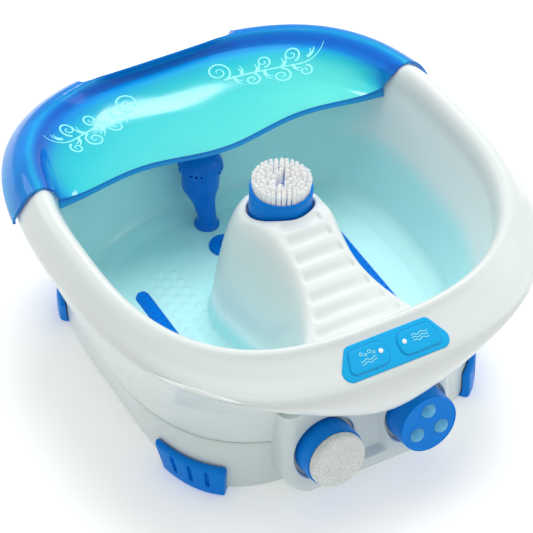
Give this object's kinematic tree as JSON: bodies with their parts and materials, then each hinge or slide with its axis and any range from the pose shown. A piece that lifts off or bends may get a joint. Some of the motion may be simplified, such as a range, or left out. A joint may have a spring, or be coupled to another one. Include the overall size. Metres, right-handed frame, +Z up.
{
  "type": "pedicure foot bath",
  "caption": "White bubbling foot bath with a ribbed centre ridge, tinted lift-off splash guard, blue grip feet and clip-in pumice, roller and brush heads",
  "frame": {"origin": "on the floor under the middle of the overall box", "axes": "+X to the bath's right as seen from the front, +Y to its back under the splash guard, +Z up"},
  "size_m": [0.3968, 0.415, 0.2],
  "materials": {
    "white_plastic": "smooth moulded, glossy white",
    "azure_plastic": "smooth moulded azure",
    "tinted_plastic": "see-through tint, polished, turquoise",
    "panel_plastic": "light blue, fine satin",
    "lamp_plastic": "milky lens",
    "deep_plastic": "deep blue moulded",
    "pumice": "rough speckled grit",
    "ball_plastic": "pearly, half see-through",
    "bristle": "white nylon tufts",
    "rubber_black": "plain dark rubber",
    "black_plastic": "plain black",
    "board": "green laminate",
    "steel": "plain bright steel"
  },
  "bodies": {
    "base": {"tub": "white_plastic", "side_skirt": "white_plastic", "base_pan": "white_plastic", "accessory_dock": "white_plastic", "foot_front_left": "azure_plastic", "foot_front_right": "azure_plastic", "foot_back_left": "azure_plastic", "foot_back_right": "azure_plastic", "panel_bezel": "panel_plastic", "jet_column": "deep_plastic", "intake_grille": "deep_plastic", "bubble_strip_left": "deep_plastic", "bubble_strip_right": "deep_plastic", "intake_hose": "rubber_black", "jet_hose": "rubber_black", "air_hose_left": "rubber_black", "air_hose_right": "rubber_black", "pad_front_left": "rubber_black", "pad_front_right": "rubber_black", "pad_back_left": "rubber_black", "pad_back_right": "rubber_black", "pump_housing": "black_plastic", "pump_cover": "black_plastic", "blower_housing": "black_plastic", "blower_cover": "black_plastic", "thermal_cutout": "black_plastic", "cord_gland": "black_plastic", "panel_loom": "black_plastic", "power_lead": "black_plastic", "heat_switch": "black_plastic", "jet_switch": "black_plastic", "control_board": "board", "pump_motor": "steel", "blower_motor": "steel", "heater_left": "steel", "heater_right": "steel", "base_screw_1": "steel", "base_screw_2": "steel", "base_screw_3": "steel", "base_screw_4": "steel", "dock_screw_1": "steel", "dock_screw_2": "steel"},
    "guard": {"splash_guard": "tinted_plastic"},
    "brush": {"brush_cup": "azure_plastic", "brush_bristles": "bristle"},
    "pumice_head": {"pumice_cup": "azure_plastic", "pumice_stone": "pumice"},
    "roller_head": {"roller_cup": "azure_plastic"},
    "ball_1": {"roller_ball_1": "ball_plastic"},
    "ball_2": {"roller_ball_2": "ball_plastic"},
    "ball_3": {"roller_ball_3": "ball_plastic"},
    "jet_nozzle": {"jet_head": "deep_plastic"},
    "heat_key": {"heat_button": "panel_plastic", "heat_lamp": "lamp_plastic"},
    "jet_key": {"jet_button": "panel_plastic", "jet_lamp": "lamp_plastic"},
    "impeller": {"pump_impeller": "black_plastic"},
    "fan": {"blower_fan": "black_plastic"}
  },
  "joints": [
    {"name": "lift_guard", "type": "slide", "parent": "base", "child": "guard", "axis": [0, 0, 1], "range_m": [0, 0.12]},
    {"name": "pull_brush", "type": "slide", "parent": "base", "child": "brush", "axis": [0, 0, 1], "range_m": [0, 0.06]},
    {"name": "pull_pumice", "type": "slide", "parent": "base", "child": "pumice_head", "axis": [0, -0.9848, 0.1736], "range_m": [0, 0.06]},
    {"name": "pull_roller", "type": "slide", "parent": "base", "child": "roller_head", "axis": [0, -0.9848, 0.1736], "range_m": [0, 0.06]},
    {"name": "roll_1", "type": "hinge", "parent": "roller_head", "child": "ball_1", "pos_m": [0.0425, -0.1813, 0.06498], "axis": [1, 0, 0], "continuous": true},
    {"name": "roll_2", "type": "hinge", "parent": "roller_head", "child": "ball_2", "pos_m": [0.03124, -0.18468, 0.04577], "axis": [1, 0, 0], "continuous": true},
    {"name": "roll_3", "type": "hinge", "parent": "roller_head", "child": "ball_3", "pos_m": [0.05376, -0.18468, 0.04577], "axis": [1, 0, 0], "continuous": true},
    {"name": "swivel_jet", "type": "hinge", "parent": "base", "child": "jet_nozzle", "pos_m": [0, 0.121, 0.1038], "axis": [0, 0, 1], "range_deg": [-40, 40]},
    {"name": "press_heat", "type": "slide", "parent": "base", "child": "heat_key", "axis": [0, 0.4965, -0.868], "range_m": [0, 0.0012], "stiffness_N_per_m": 300},
    {"name": "press_jet", "type": "slide", "parent": "base", "child": "jet_key", "axis": [0, 0.4965, -0.868], "range_m": [0, 0.0012], "stiffness_N_per_m": 300},
    {"name": "spin_impeller", "type": "hinge", "parent": "base", "child": "impeller", "pos_m": [0, 0.002, 0.018], "axis": [0, 0, 1], "continuous": true},
    {"name": "spin_fan", "type": "hinge", "parent": "base", "child": "fan", "pos_m": [0, -0.084, 0.018], "axis": [0, 0, 1], "continuous": true}
  ]
}
